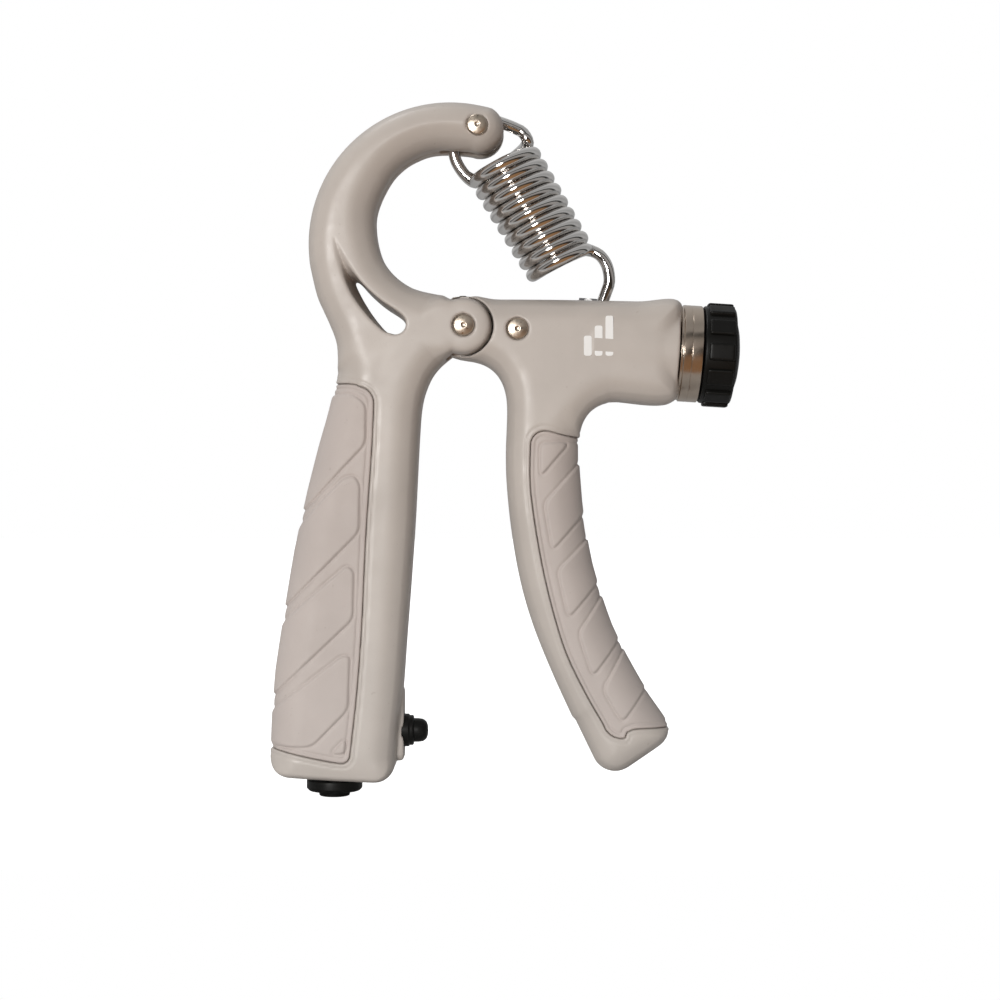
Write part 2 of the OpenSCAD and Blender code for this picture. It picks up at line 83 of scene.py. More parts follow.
# ------------------------------------------------------------------ sizes
HALF_T = 10.5
EDGE_R = 3.3
SILHOUETTE_DEPTH = 6.5
PAD_T = 1.2
SEAM = 0.12
EAR_R = 6.2
EAR_GAP = 0.4
TONGUE_HALF = 3.7
RIVET_R = 2.25
RECESS_R = 2.5
SCREW_RECESS_R = 2.8
SCREW_FLOOR = -5.0
PAD_HOLE_R = 2.9
HALF_GAP = 0.04
BARREL_R = 10.5
BARREL_START, BARREL_END = 28, 47.4
NUT_BORE_R = 7.6
BUSH_BORE_R = 6.6
PLUNGER_BORE_R = 3.7
RESET_BORE_R = 1.9
KNOB_LUGS = 12
SHELL_CELL, PAD_CELL = 0.4, 0.3
WIRE_R = 1.3
COIL_WIRE_R = 1.5
COIL_R = 7.0
COIL_TAPER = 0.5
COIL_PITCH = 3.06
COIL_TURNS = 9
TURN_STEPS = 48
COIL_TILT = math.radians(30.5)
ARM_TILT = math.radians(3.5)
AXIS_Z = -2.5
SPRING_PIN = local("spring_pin")[[0, 2]]
ARM_RIVET = local("arm_rivet")[[0, 2]]
EYE = local("traveller_pin")[[0, 2]]
HOOK_C = (-3.0, 18.3)
HOOK_R = 31.3
OPENING_C = (-3.2, 23.1)
OPENING_R = 16.3
TIP_C = (3.6, 43.75)
TIP_R = 5.25
SIDE_R = 8.5
SHAFT = local("counter_shaft")
PLUNGER_Z = local("plunger_collar")[2]
SPRING_LOOP = [(13.2, 43.7), (11.7, 44.6), (9.3, 45.6), (5.5, 46.8), (3, 46.9), (0, 45.9),
               (-1.9, 43.5), (-2.4, 41.2), (-2.2, 38.8), (-1.4, 36.6), (0.3, 34.2), (2.2, 32.9)]
SPRING_SHANK = [(31.6, 7.9), (32.4, 10.6), (31.9, 14.0), (30.2, 16.5)]
HANDLE_SCREWS = [(-23.5, -22.0), (-25.5, -46.0), (-27.5, -70.0)]
ARM_SCREWS = [(17.5, -21.0), (18.6, -50.0), (33.0, -85.5), (38.5, -12.2)]


# ------------------------------------------------------------------ outlines
def arc(c, r, a0, a1, n):
    """Points along an arc from angle a0 to a1, in degrees."""
    angles = np.radians(np.linspace(a0, a1, n + 1))
    return [(c[0] + r * math.cos(a), c[1] + r * math.sin(a)) for a in angles]


def smooth(points, step=0.7, closed=True):
    """A Catmull-Rom curve through the points, resampled every step or so."""
    p = np.array(points, float)
    n = len(p)
    out = []
    for i in range(n if closed else n - 1):
        if closed:
            a, b, c, d = (p[(i + k) % n] for k in (-1, 0, 1, 2))
        else:
            a, b, c, d = (p[min(max(i + k, 0), n - 1)] for k in (-1, 0, 1, 2))
        count = max(1, int(np.linalg.norm(c - b) / step))
        for t in np.arange(count) / count:
            out.append(0.5 * (2 * b + (c - a) * t + (2 * a - 5 * b + 4 * c - d) * t ** 2
                              + (3 * b - a - 3 * c + d) * t ** 3))
    if not closed:
        out.append(p[-1])
    return np.array(out)


def round_corners(points, r, n=5):
    """A closed outline with its corners rounded."""
    p = np.array(points, float)
    out = []
    for a, b, c in zip(np.roll(p, 1, axis=0), p, np.roll(p, -1, axis=0)):
        u, v = a - b, c - b
        reach = min(r, 0.45 * np.linalg.norm(u), 0.45 * np.linalg.norm(v))
        start, end = b + u / np.linalg.norm(u) * reach, b + v / np.linalg.norm(v) * reach
        out += [(1 - t) ** 2 * start + 2 * t * (1 - t) * b + t * t * end for t in np.linspace(0, 1, n)]
    return np.array(out)


HANDLE = smooth(
    arc((0, 0), EAR_R, -112, 100, 24)
    + [(-2.5, 5.85), (-3.3, 6.2), (-4.4, 6.9), (-9.4, 8.0), (-12.4, 9.2), (-15.5, 11.6), (-17.8, 14.8),
       (-19.2, 19.0), (-19.7, 23.4), (-19.3, 26.5), (-17.9, 30.1), (-15.7, 33.8), (-13.0, 36.4),
       (-10.4, 37.9), (-7.8, 38.9), (-4.8, 39.3), (-1.6, 39.2)]
    + arc(TIP_C, TIP_R, -112, 60, 14)
    + arc(HOOK_C, HOOK_R, 78, 190, 28)
    + [(-32.4, 6.9), (-31.0, 3.6), (-29.5, 0.3), (-28.2, -3.2), (-27.7, -6.8), (-27.7, -10),
       (-28.4, -13.6), (-29.8, -19.5), (-31.8, -26.5), (-34.2, -36), (-37.1, -49.2),
       (-39.3, -62.4), (-41.3, -75.6), (-42.1, -86), (-42.4, -94)]
    + arc((-37.4, -94.4), 5, 184, 262, 6)
    + [(-28, -100)]
    + arc((-19.5, -96), 4.4, -94, 0, 6)
    + [(-14.6, -89), (-13.6, -80), (-12.8, -69), (-11.8, -55.8), (-10.9, -42.6), (-10, -25), (-9.4, -17.5),
       (-8.2, -13), (-6.2, -9.4)])

ARM = smooth(
    [(-0.3, -6.9), (2.1, -7.2), (5.0, -8.2), (7.4, -10.2), (9.0, -13.4), (9.6, -18), (9.3, -28), (9.6, -36),
     (10.7, -46), (12.6, -56.5), (15.3, -65.8), (19.2, -75.6), (23.6, -85.3)]
    + arc((33, -92.9), 5.2, 200, 303, 8)
    + arc((39.9, -88.3), 5.1, -56, 28, 6)
    + [(39.6, -79), (35.8, -72.3), (32.6, -65.6), (30.2, -58.8), (28.3, -52.2), (26.9, -45),
       (26, -38.4), (25.6, -31), (25.7, -24.4)]
    + arc((33.9, -24.4), 8.2, 165, 90, 6)
    + [(46.6, -16.2), (47.3, -5.4), (47.9, 5.4), (38, 5.7), (23, 6.0), (12, 6.1), (7, 6.15), (4.2, 6.6),
       (2.2, 6.85), (-3, 6.2), (-5, 0), (-3.5, -5.5)])

HANDLE_PAD = smooth(
    [(-41.9, -93), (-30.9, -95.2)]
    + arc((-26.6, -94), 1.9, -90, 0, 4)
    + [(-23.2, -80.5), (-22.1, -65.5), (-21.2, -46.1), (-19.9, -26.8)]
    + arc((-23.2, -17), 3.7, 0, 80, 6)
    + [(-27, -12.6), (-50, -12.6), (-52, -50), (-50, -93)])

ARM_PAD = smooth(
    [(60, -88.4), (62, -56), (60, -24.4), (40, -24.4), (25.4, -24.4)]
    + arc((17.8, -26.2), 3.2, 80, 180, 6)
    + [(14.6, -35.4), (16.2, -47.2), (18.6, -58.9), (22.1, -70.8), (26.5, -80.2)]
    + arc((34.6, -86.2), 4.2, 195, 280, 5)
    + [(37.1, -88.4), (48, -88.4)])

# The slot in the hook: its edge at the face, and the smaller hole that goes right through
TEARDROP = smooth(
    [(-28.3, 19.4), (-28.0, 17.0), (-27.2, 13.4), (-24.8, 7.2), (-21.3, 2.4), (-17.6, -1.2)]
    + arc((-14.9, 0.3), 2.4, 240, 400, 8)
    + [(-14.5, 3.1), (-18.3, 5.6), (-22.0, 9.0), (-24.8, 13.0), (-27.2, 17.4)])
THROUGH = smooth(
    [(-24.2, 10.4), (-22.7, 6.9), (-20.1, 2.7), (-17.4, -0.6)]
    + arc((-14.9, 0.3), 2.0, 240, 400, 8)
    + [(-15.0, 3.2), (-18.5, 5.9), (-22.0, 9.2)])

# The outer side of each grip, which slopes away towards the fingers
HANDLE_SIDE = np.array(
    [(-60, 80), (-60, 22), (-27.7, -10), (-28.4, -13.6), (-29.8, -19.5), (-31.8, -26.5), (-34.2, -36),
     (-37.1, -49.2), (-39.3, -62.4), (-41.3, -75.6), (-42.1, -86), (-42.5, -97), (-60, -118), (60, -118),
     (60, 80)])
ARM_SIDE = np.array(
    [(60, 60), (60, -25), (25.8, -25), (25.6, -31), (26, -38.4), (26.9, -45), (28.3, -52.2), (30.2, -58.8),
     (32.6, -65.6), (35.8, -72.3), (39.6, -79), (44.5, -86), (70, -125), (-60, -125), (-60, 60)])


def outward(points, shift, top):
    """Moves the outline's outer side by shift where it is below top, with a gentle start."""
    points = np.array(points, float)
    outer = points[:, 0] < -26 if shift < 0 else points[:, 0] > 24
    points[:, 0] += shift * outer * np.clip((top - points[:, 1]) / 12, 0, 1)
    return points


HANDLE, HANDLE_SIDE = outward(HANDLE, -0.65, -4), outward(HANDLE_SIDE, -0.65, -4)
ARM, ARM_SIDE = outward(ARM, 0.4, -24), outward(ARM_SIDE, 0.4, -24)

# Raised panels of the grips; corners past the silhouette wrap round the outer edge
HANDLE_PANELS = [
    [(-50, -15.1), (-24.2, -15.1), (-21.3, -17.2), (-21.4, -26.0), (-34, -39.3), (-50, -52)],
    [(-34, -41.5), (-26.1, -33.4), (-23.7, -32.9), (-22.6, -34.9), (-22.8, -45.2), (-31.1, -53.6),
     (-38.6, -60.9), (-52, -74), (-52, -60)],
    [(-38.8, -64.2), (-25.4, -52.5), (-23.9, -53.8), (-24.1, -64.2), (-40.8, -80), (-54, -92),
     (-54, -78)],
    [(-41, -83.5), (-26.5, -72.3), (-24.8, -72.3), (-25.2, -84), (-33.1, -92.1), (-50, -92.4),
     (-52, -92)],
    [(-25.6, -90.2), (-25.6, -93.7), (-29.0, -93.7)],
]
ARM_PANELS = [
    [(16.8, -25.7), (23.2, -25.7), (16.8, -33.2)],
    [(17.7, -38.9), (25.6, -30.1), (36, -19), (38, -28.5), (26.5, -41.3), (19.5, -49.2)],
    [(20.6, -53.6), (27, -47.2), (38, -36), (40, -46), (29.2, -56.9), (23, -64)],
    [(25.2, -67.3), (30, -60.2), (38, -48.5), (44, -56), (34.2, -69), (28.3, -76.7)],
    [(30.5, -79.6), (35.1, -71.7), (43, -60), (50, -69), (39.7, -80.2), (34.7, -86.8)],
]


# ------------------------------------------------------------------ distance fields
class Block:
    """A regular grid of points that fields are worked out on."""

    def __init__(self, low, high, cell):
        self.low, self.cell = np.array(low, float), cell
        n = np.ceil((np.array(high, float) - self.low) / cell).astype(int) + 1
        x, y, z = (self.low[k] + cell * np.arange(n[k]) for k in range(3))
        self.x, self.y, self.z = x[:, None, None], y[None, :, None], z[None, None, :]

    def outline(self, points):
        """Signed distance to a closed outline in the xz plane, negative inside."""
        x, z = self.x, self.z
        best = np.full(np.broadcast(x, z).shape, 1e9)
        inside = np.zeros(best.shape, bool)
        for a, b in zip(points, np.roll(points, -1, axis=0)):
            dx, dz = b - a
            if abs(dx) + abs(dz) < 1e-9:
                continue
            px, pz = x - a[0], z - a[1]
            t = np.clip((px * dx + pz * dz) / (dx * dx + dz * dz), 0, 1)
            best = np.minimum(best, (px - t * dx) ** 2 + (pz - t * dz) ** 2)
            if abs(dz) > 1e-12:
                inside ^= ((a[1] > z) != (b[1] > z)) & (px < dx * pz / dz)
        return np.where(inside, -1, 1) * np.sqrt(best)


def smax(a, b, k=0.4):
    """The larger of two fields, with the edge between them rounded over about k."""
    h = np.maximum(k - np.abs(a - b), 0) / k
    return np.maximum(a, b) + h * h * k / 4


def smin(a, b, k=0.4):
    """The smaller of two fields, joined with a fillet of about k."""
    return -smax(-a, -b, k)


def cut(field, hole, k=0.4):
    """A field with a hole taken out of it."""
    return smax(field, -hole, k)


def rounded_slab(d2, y, half, r):
    """An outline drawn out to +-half, with rounded edges of radius r."""
    qx, qy = d2 + r, np.abs(y) - half + r
    return (np.minimum(np.maximum(qx, qy), 0)
            + np.hypot(np.maximum(qx, 0), np.maximum(qy, 0)) - r)


def bevelled_slab(d2, y, half, size):
    """An outline drawn out to +-half, with broad bevels whose own edges are rounded."""
    bevel = (d2 + np.abs(y) - half + size) * math.sqrt(0.5)
    return smax(rounded_slab(d2, y, half, 1.3), bevel, 2.2)


def pin(b, p, r, y0=-99.0, y1=99.0):
    """A cylinder along y through the point p of the xz plane."""
    return np.maximum(np.hypot(b.x - p[0], b.z - p[1]) - r, np.abs(b.y - (y0 + y1) / 2) - (y1 - y0) / 2)


def box_field(b, low, high, r=0.3):
    """A block between two corners, with rounded edges."""
    c, h = (np.array(low) + high) / 2, (np.array(high) - low) / 2 - r
    q = [np.abs(v - c[k]) - h[k] for k, v in enumerate((b.x, b.y, b.z))]
    out = np.sqrt(sum(np.maximum(v, 0) ** 2 for v in q))
    return out + np.minimum(np.maximum(np.maximum(q[0], q[1]), q[2]), 0) - r


def on_arm_axis(b):
    """Distance along the arm's axis, and distance from it."""
    s = b.x * math.cos(ARM_TILT) - (b.z - AXIS_Z) * math.sin(ARM_TILT)
    h = b.x * math.sin(ARM_TILT) + (b.z - AXIS_Z) * math.cos(ARM_TILT)
    return s, np.hypot(h, b.y)


def axis_cylinder(s, rad, s0, s1, r, edge=0.3):
    """A cylinder along the arm's axis, with rounded rims."""
    qr, qs = rad - r + edge, np.abs(s - (s0 + s1) / 2) - (s1 - s0) / 2 + edge
    return (np.minimum(np.maximum(qr, qs), 0)
            + np.hypot(np.maximum(qr, 0), np.maximum(qs, 0)) - edge)


# ------------------------------------------------------------------ mesh making
def add_mesh(name, verts, faces, material, normals=None, smooth_shading=True):
    """Makes an object from points in millimetres about the hinge pin."""
    mesh = bpy.data.meshes.new(name)
    mesh.from_pydata((np.array(verts, float) * MM + HINGE).tolist(), [],
                     [tuple(int(i) for i in f) for f in faces])
    mesh.validate()
    mesh.materials.append(material)
    mesh.polygons.foreach_set("use_smooth", [smooth_shading] * len(mesh.polygons))
    if normals is not None and len(normals) == len(mesh.vertices):
        mesh.normals_split_custom_set_from_vertices(np.array(normals).tolist())
    mesh.update()
    obj = bpy.data.objects.new(name, mesh)
    bpy.context.scene.collection.objects.link(obj)
    return obj


def sample(field, at):
    """Trilinear value of a field at points given in cells."""
    at = np.clip(at, 0, np.array(field.shape) - 1.001)
    i = at.astype(int)
    f = at - i
    out = 0
    for corner in range(8):
        o = np.array([corner >> 2 & 1, corner >> 1 & 1, corner & 1])
        w = np.prod(np.where(o, f, 1 - f), axis=1)
        out = out + w * field[tuple((i + o).T)]
    return out


def mesh_field(name, block, field, material, mirror=False):
    """Meshes the zero surface of a field, shaded by the field's own gradient."""
    shape = np.broadcast_shapes(block.x.shape, block.y.shape, block.z.shape)
    field = np.broadcast_to(field, shape).astype(np.float32)
    grid = openvdb.FloatGrid(10.0)
    grid.copyFromArray(np.ascontiguousarray(np.clip(field, -3, 3)))
    points, quads = grid.convertToQuads(0.0)
    steps = np.eye(3)
    normals = np.stack([sample(field, points + 0.6 * s) - sample(field, points - 0.6 * s)
                        for s in steps], axis=1)
    normals /= np.maximum(np.linalg.norm(normals, axis=1, keepdims=True), 1e-9)
    verts = points * block.cell + block.low
    faces = np.asarray(quads)
    a, b, c, d = (verts[faces[:, k]] for k in range(4))
    facing = np.einsum("ij,ij->i", np.cross(c - a, d - b), normals[faces[:, 0]])
    if np.median(facing) < 0:
        faces = faces[:, ::-1]
    if mirror:
        verts, normals, faces = verts * [1, -1, 1], normals * [1, -1, 1], faces[:, ::-1]
    return add_mesh(name, verts, faces, material, normals)


def basis(axis):
    """Two directions square to an axis."""
    axis = np.array(axis, float) / np.linalg.norm(axis)
    side = np.cross(axis, [0, 0, 1] if abs(axis[2]) < 0.9 else [1, 0, 0])
    side /= np.linalg.norm(side)
    return axis, side, np.cross(axis, side)


def fillet(profile, r, n=4):
    """Rounds the inner corners of a profile of (radius, height) points."""
    p = [np.array(q, float) for q in profile]
    out = [p[0]]
    for a, b, c in zip(p, p[1:], p[2:]):
        u, v = a - b, c - b
        reach = min(r, 0.45 * np.linalg.norm(u), 0.45 * np.linalg.norm(v))
        start, end = b + u / np.linalg.norm(u) * reach, b + v / np.linalg.norm(v) * reach
        for t in np.linspace(0, 1, n + 1):
            out.append((1 - t) ** 2 * start + 2 * t * (1 - t) * b + t * t * end)
    return out + [p[-1]]


def lathe(name, profile, origin, axis, material, segments=96, round_to=0.25):
    """Turns a closed-ended profile of (radius, height) about an axis."""
    profile = fillet(profile, round_to)
    axis, u, v = basis(axis)
    angles = 2 * np.pi * np.arange(segments) / segments
    ring = np.outer(np.cos(angles), u) + np.outer(np.sin(angles), v)
    verts, faces, rows = [], [], []
    for r, h in profile:
        start = len(verts)
        if r < 1e-6:
            verts.append(np.array(origin) + h * axis)
            rows.append([start] * segments)
        else:
            verts.extend(np.array(origin) + h * axis + r * ring)
            rows.append(list(range(start, start + segments)))
    for low, high in zip(rows, rows[1:]):
        for k in range(segments):
            m = (k + 1) % segments
            quad = [low[k], low[m], high[m], high[k]]
            face = [i for n, i in enumerate(quad) if i not in quad[:n]]
            if len(face) > 2:
                faces.append(face)
    return add_mesh(name, verts, faces, material)


def tube(name, line, radius, material, sides=20):
    """A round wire along a line of points, with a radius at each, and domed ends."""
    line = np.array(line, float)
    tangent = np.gradient(line, axis=0)
    tangent /= np.linalg.norm(tangent, axis=1, keepdims=True)
    side = np.array([0.0, 1.0, 0.0])
    rings, frames = [], []
    for t in tangent:
        side = side - t * (side @ t)
        side = side / np.linalg.norm(side)
        frames.append((side.copy(), np.cross(t, side)))
    dome = [(math.sin(a), math.cos(a)) for a in np.radians([15, 35, 55, 75])]
    for s, c in dome:
        rings.append((line[0] - tangent[0] * radius[0] * c * 0.6, radius[0] * s, frames[0]))
    for k in range(len(line)):
        rings.append((line[k], radius[k], frames[k]))
    for s, c in reversed(dome):
        rings.append((line[-1] + tangent[-1] * radius[-1] * c * 0.6, radius[-1] * s, frames[-1]))
    angles = 2 * np.pi * np.arange(sides) / sides
    verts = np.concatenate([c + rr * (np.outer(np.cos(angles), f[0]) + np.outer(np.sin(angles), f[1]))
                            for c, rr, f in rings])
    faces = [[a * sides + k, a * sides + (k + 1) % sides, (a + 1) * sides + (k + 1) % sides,
              (a + 1) * sides + k] for a in range(len(rings) - 1) for k in range(sides)]
    faces = [f[::-1] for f in faces]
    faces.append(list(range(sides)))
    faces.append([(len(rings) - 1) * sides + k for k in reversed(range(sides))])
    return add_mesh(name, verts, faces, material)


# ------------------------------------------------------------------ materials
def linear(srgb):
    """An 8-bit sRGB colour in linear light."""
    return [((c / 255 + 0.055) / 1.055) ** 2.4 if c > 10 else c / 255 / 12.92 for c in srgb]


class Shader:
    """A material with its nodes, and short ways to add the usual ones."""

    def __init__(self, name, **values):
        self.material = bpy.data.materials.new(name)
        self.material.use_nodes = True
        self.nodes, self.links = self.material.node_tree.nodes, self.material.node_tree.links
        self.bsdf = self.nodes["Principled BSDF"]
        self.coords = self.nodes.new("ShaderNodeTexCoord").outputs["Object"]
        for key, value in values.items():
            self.bsdf.inputs[key.replace("_", " ")].default_value = value

    def noise(self, scale, detail=3.0, rough=0.55):
        """Noise in the object's own space, in cycles a metre."""
        node = self.nodes.new("ShaderNodeTexNoise")
        node.inputs["Scale"].default_value = scale
        node.inputs["Detail"].default_value = detail
        node.inputs["Roughness"].default_value = rough
        self.links.new(self.coords, node.inputs["Vector"])
        return node.outputs["Fac"]

    def ramp(self, fac, stops):
        """Colours at places along a value."""
        node = self.nodes.new("ShaderNodeValToRGB")
        while len(node.color_ramp.elements) < len(stops):
            node.color_ramp.elements.new(0.5)
        for element, (at, colour) in zip(node.color_ramp.elements, stops):
            element.position = at
            element.color = (*colour[:3], 1)
        self.links.new(fac, node.inputs["Fac"])
        return node.outputs["Color"]

    def darken(self, colour, by, amount):
        """A colour multiplied by another, as far as amount."""
        node = self.nodes.new("ShaderNodeMix")
        node.data_type, node.blend_type = "RGBA", "MULTIPLY"
        node.inputs["Factor"].default_value = amount
        for socket, value in (("A", colour), ("B", by)):
            target = [i for i in node.inputs if i.name == socket and i.type == "RGBA"][0]
            self.links.new(value, target)
        return [o for o in node.outputs if o.type == "RGBA"][0]

    def spread(self, fac, low, high):
        """The middle of a noise's range, spread from low to high."""
        node = self.nodes.new("ShaderNodeMapRange")
        node.inputs["From Min"].default_value = 0.3
        node.inputs["From Max"].default_value = 0.7
        node.inputs["To Min"].default_value = low
        node.inputs["To Max"].default_value = high
        self.links.new(fac, node.inputs["Value"])
        return node.outputs["Result"]

    def bump(self, *layers):
        """Bumps on top of each other, as (height, distance in metres, strength)."""
        normal = None
        for height, distance, strength in layers:
            node = self.nodes.new("ShaderNodeBump")
            node.inputs["Distance"].default_value = distance
            node.inputs["Strength"].default_value = strength
            self.links.new(height, node.inputs["Height"])
            if normal:
                self.links.new(normal, node.inputs["Normal"])
            normal = node.outputs["Normal"]
        self.links.new(normal, self.bsdf.inputs["Normal"])

    def colour(self, output):
        self.links.new(output, self.bsdf.inputs["Base Color"])

    def roughness(self, output):
        self.links.new(output, self.bsdf.inputs["Roughness"])


def plastic(name, colour, rough, vary=0.05, grain=2200, grain_depth=2.5e-5, **values):
    """Moulded plastic: faint cloudiness, handling marks, a fine moulded grain and specks."""
    s = Shader(name, **values)
    low = [c * (1 - vary) for c in colour]
    high = [min(1, c * (1 + vary)) for c in colour]
    cloud = s.ramp(s.noise(70, 4), [(0.3, low), (0.7, high)])
    specks = s.ramp(s.noise(900, 2), [(0.70, (1, 1, 1)), (0.78, (0.82, 0.80, 0.78))])
    s.colour(s.darken(cloud, specks, 0.6))
    s.roughness(s.spread(s.noise(260, 5), rough - 0.07, rough + 0.08))
    s.bump((s.noise(grain, 3), grain_depth, 0.35), (s.noise(240, 2), 6e-5, 0.12))
    return s.material


def metal(name, colour, rough, tint=0.06, scratch=1400, **values):
    """Bare or plated metal: slight tarnish, tool or handling marks, uneven polish."""
    s = Shader(name, Metallic=1.0, **values)
    low = [c * (1 - tint) for c in colour]
    s.colour(s.ramp(s.noise(240, 4), [(0.35, low), (0.65, colour)]))
    marks = s.noise(scratch, 4, 0.6)
    s.roughness(s.spread(marks, rough * 0.75, rough * 1.35))
    s.bump((marks, 1.2e-5, 0.25))
    return s.material


SHELL = plastic("shell_plastic", (0.515, 0.470, 0.432), 0.42)
PAD = plastic("pad_rubber", (0.520, 0.462, 0.432), 0.62, 0.04, 1500, 4e-5, Sheen_Weight=0.05)
NICKEL = metal("rivet_nickel", linear((200, 187, 172)), 0.32)
CHROME = metal("spring_chrome", (0.80, 0.78, 0.76), 0.09, tint=0.1, scratch=700)
FERRULE = metal("ferrule_nickel", linear((192, 178, 164)), 0.2, 0.05, 300)
STEEL = metal("screw_zinc", (0.62, 0.62, 0.62), 0.33)
CAST = metal("cast_zinc", (0.10, 0.10, 0.105), 0.5, scratch=500)
BRONZE = metal("bronze", (0.72, 0.53, 0.28), 0.35)
BLACK = plastic("black_plastic", (0.005, 0.005, 0.0045), 0.4, 0.15, 1800, 2e-5, Specular_IOR_Level=0.18)
WHITE = plastic("white_plastic", (0.82, 0.82, 0.80), 0.3, 0.03)
ACETAL = plastic("acetal", (0.78, 0.75, 0.66), 0.45, 0.04)
ORANGE = plastic("orange_plastic", (0.72, 0.24, 0.04), 0.4, 0.08)
INK = plastic("digit_ink", (0.02, 0.02, 0.022), 0.5, 0.2)
PRINT = plastic("printed_white", (0.88, 0.88, 0.87), 0.45, 0.03)
GLASS = plastic("window_clear", (0.95, 0.97, 0.98), 0.08, 0.02, Transmission_Weight=0.95, IOR=1.49)


# ------------------------------------------------------------------ levers
def panels_height(b, panels, zone):
    """How far a grip pad stands above its own base: raised panels with a fine groove round each."""
    distance = np.min([b.outline(round_corners(p, 1.6)) for p in panels], axis=0)
    t = np.clip((0.3 - distance) / 0.6, 0, 1)
    raised = t * t * (3 - 2 * t)
    groove = np.exp(-((distance - 0.15) / 0.3) ** 2)
    rim = np.exp(-((zone + 1.15) / 0.24) ** 2)
    return -0.32 + 0.3 * raised - 0.26 * groove - 0.26 * rim


def lever_slab(b, d2, side, edge=EDGE_R):
    """A lever's outer form: bevelled edges, and a broad round down the side of its grip."""
    return smax(bevelled_slab(d2, b.y, HALF_T, edge), rounded_slab(side, b.y, HALF_T, SIDE_R), 0.5)


def shell_half(b, d2, side, zone, rivets, edge=EDGE_R):
    """The front half of a lever, with its pad's recess and its rivets' recesses."""
    body = lever_slab(b, d2, side, edge)
    body = body + 0.16 * np.exp(-((zone - 0.95) / 0.25) ** 2)
    body = cut(body, np.maximum(zone, -(body + PAD_T)), 0.35)
    for p in rivets:
        body = cut(body, pin(b, p, RECESS_R, -HALF_T - 1, -HALF_T + 1.0), 0.25)
    return body


def build_handle():
    """The left lever: two shell halves with the hook, and its grip."""
    b = Block((-44, -11.2, -105.5), (11, 0.6, 51.5), SHELL_CELL)
    d2, zone, side = b.outline(HANDLE), b.outline(HANDLE_PAD), b.outline(HANDLE_SIDE)
    # The edge is rounder round the hook's opening than outside it
    around = np.hypot(b.x - OPENING_C[0], b.z - OPENING_C[1])
    inner = np.clip((OPENING_R + 8.5 - around) / 5, 0, 1)
    edge = EDGE_R + 0.6 * inner * inner * (3 - 2 * inner)
    edge = edge * np.clip((np.hypot(b.x, b.z) - 5.4) / 4, 0.15, 1) * np.clip((b.z + 103) / 8, 0.35, 1)
    body = shell_half(b, d2, side, zone, [(0, 0), SPRING_PIN], edge)
    depth = np.clip(1 + b.y / HALF_T, 0, 1) ** 0.8
    body = cut(body, b.outline(TEARDROP) * (1 - depth) + b.outline(THROUGH) * depth, 0.5)
    boss = box_field(b, (-16, -4.3, -96.2), (-12.6, 4.3, -79.9), 2.2)
    body = smin(body, np.maximum(boss, b.x + 13.3), 0.6)
    body = cut(body, pin(b, (0, 0), 7.8, -3.9, 9))
    body = cut(body, pin(b, (6.2, 39.9), 11.6, -1.9, 9))
    body = cut(body, box_field(b, (-35.3, -7.6, -96.4), (-19.2, 9, -74.8)))
    body = cut(body, box_field(b, (-23, -7.3, -93.2), (-16.7, 9, -80)))
    bore = np.hypot(b.y, b.z - PLUNGER_Z) - PLUNGER_BORE_R
    body = cut(body, np.maximum(bore, np.abs(b.x + 13) - 4.5), 0.3)
    shaft = np.hypot(b.x - SHAFT[0], b.y) - RESET_BORE_R
    body = cut(body, np.maximum(shaft, np.abs(b.z + 100) - 5), 0.3)
    front = smax(body, b.y + HALF_GAP, 0.35)
    made = [mesh_field("handle_front_cover", b, front, SHELL)]
    rear = front
    for p in HANDLE_SCREWS:
        rear = cut(rear, pin(b, p, SCREW_RECESS_R, -HALF_T - 1, SCREW_FLOOR), 0.3)
    low, high = local_box("window_bezel")
    window = box_field(b, (low[0] - 0.1, -12, low[2] - 0.1), (high[0] + 0.1, -6, high[2] + 0.1), 0.2)
    rear = cut(rear, window, 0.2)
    made.append(mesh_field("handle_rear_cover", b, rear, SHELL, mirror=True))
    for piece, node in zip(made, ("handle_front_shell", "handle_rear_shell")):
        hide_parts(node)
        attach(piece, "handle")

    b = Block((-43.5, -11.2, -101), (-17.5, 11.2, -10.5), PAD_CELL)
    d2, zone, side = b.outline(HANDLE), b.outline(HANDLE_PAD), b.outline(HANDLE_SIDE)
    pad = pad_field(b, d2, side, zone, HANDLE_PANELS)
    for p in HANDLE_SCREWS:
        pad = cut(pad, pin(b, p, PAD_HOLE_R, 4, 12), 0.3)
    pad = cut(pad, box_field(b, (low[0] - 0.3, 4, low[2] - 0.3), (high[0] + 0.3, 12, high[2] + 0.3)), 0.3)
    pad = mesh_field("handle_soft_grip", b, pad, PAD)
    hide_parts("handle_grip_pad")
    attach(pad, "handle")


def pad_field(b, d2, side, zone, panels):
    """A grip's rubber skin, from its raised panels down to the shell's recess."""
    body = lever_slab(b, d2, side)
    skin = body - panels_height(b, panels, zone)
    return smax(smax(skin, zone + SEAM, 0.45), -(body + PAD_T - 0.08), 0.2)


